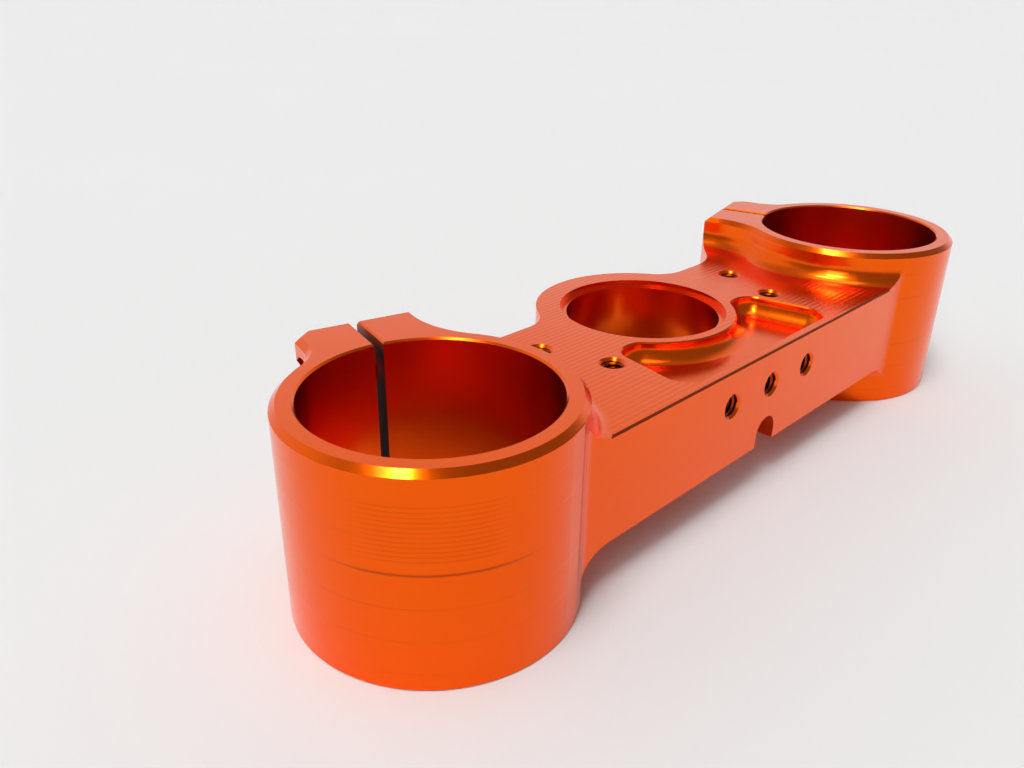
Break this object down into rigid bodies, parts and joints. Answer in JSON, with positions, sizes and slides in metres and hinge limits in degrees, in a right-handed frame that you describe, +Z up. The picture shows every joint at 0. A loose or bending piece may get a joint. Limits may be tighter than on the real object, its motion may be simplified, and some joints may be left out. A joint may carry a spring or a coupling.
{
  "type": "motorcycle lower triple clamp",
  "caption": "Lower triple clamp of a motorcycle fork: a milled bridge with a stem bore, between split clamp rings for the fork tubes with pinch ears at the rear.",
  "frame": {"origin": "on the axis of the stem bore, level with the underside of the bridge", "axes": "+X along the bridge from ring to ring, -Y out of the flat front face, +Z up along the stem bore"},
  "size_m": [0.269, 0.0852, 0.054],
  "materials": {
    "anodised_aluminium": "satin, orange anodised"
  },
  "bodies": {
    "root": {"lower_triple_clamp": "anodised_aluminium"}
  },
  "joints": []
}
